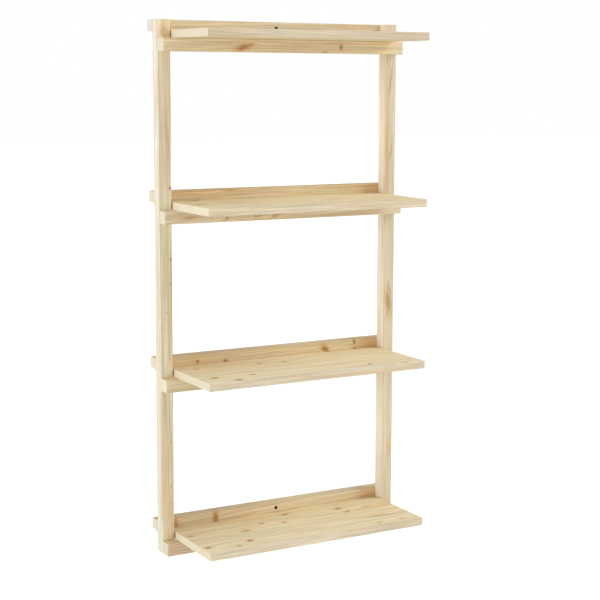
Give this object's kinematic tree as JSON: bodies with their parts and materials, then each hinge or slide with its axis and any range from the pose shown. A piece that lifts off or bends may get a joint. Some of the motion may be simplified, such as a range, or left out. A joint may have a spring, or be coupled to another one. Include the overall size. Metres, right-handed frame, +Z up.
{
  "type": "wall shelf",
  "caption": "Wall-hung pine shelf: two square uprights, rails in front and behind at each level, boards that reach far forward.",
  "frame": {"origin": "middle of the top hanging hole, in the plane of the wall", "axes": "+X to the right seen from the front, -Y to the front, +Y into the wall, +Z up"},
  "size_m": [0.6, 0.2373, 1.169],
  "materials": {
    "pine_uprights": "untreated pale pine, planed",
    "pine_rails": "untreated pale pine, planed",
    "pine_shelves": "untreated pale pine, planed",
    "zinc_plated_steel": "bright zinc plating"
  },
  "bodies": {
    "root": {"upright_left": "pine_uprights", "upright_right": "pine_uprights", "front_rail_1": "pine_rails", "rear_rail_1": "pine_rails", "shelf_1": "pine_shelves", "front_rail_2": "pine_rails", "rear_rail_2": "pine_rails", "shelf_2": "pine_shelves", "front_rail_3": "pine_rails", "rear_rail_3": "pine_rails", "shelf_3": "pine_shelves", "front_rail_4": "pine_rails", "rear_rail_4": "pine_rails", "shelf_4": "pine_shelves", "rear_rail_screw_1_left": "zinc_plated_steel", "rear_rail_screw_1_right": "zinc_plated_steel", "rear_rail_screw_2_left": "zinc_plated_steel", "rear_rail_screw_2_right": "zinc_plated_steel", "rear_rail_screw_3_left": "zinc_plated_steel", "rear_rail_screw_3_right": "zinc_plated_steel", "rear_rail_screw_4_left": "zinc_plated_steel", "rear_rail_screw_4_right": "zinc_plated_steel", "front_rail_screw_1_left": "zinc_plated_steel", "front_rail_screw_1_right": "zinc_plated_steel", "front_rail_screw_2_left": "zinc_plated_steel", "front_rail_screw_2_right": "zinc_plated_steel", "front_rail_screw_3_left": "zinc_plated_steel", "front_rail_screw_3_right": "zinc_plated_steel", "front_rail_screw_4_left": "zinc_plated_steel", "front_rail_screw_4_right": "zinc_plated_steel", "shelf_screw_1_left": "zinc_plated_steel", "shelf_screw_1_right": "zinc_plated_steel", "shelf_screw_2_left": "zinc_plated_steel", "shelf_screw_2_right": "zinc_plated_steel", "shelf_screw_3_left": "zinc_plated_steel", "shelf_screw_3_right": "zinc_plated_steel", "shelf_screw_4_left": "zinc_plated_steel", "shelf_screw_4_right": "zinc_plated_steel"}
  },
  "joints": []
}
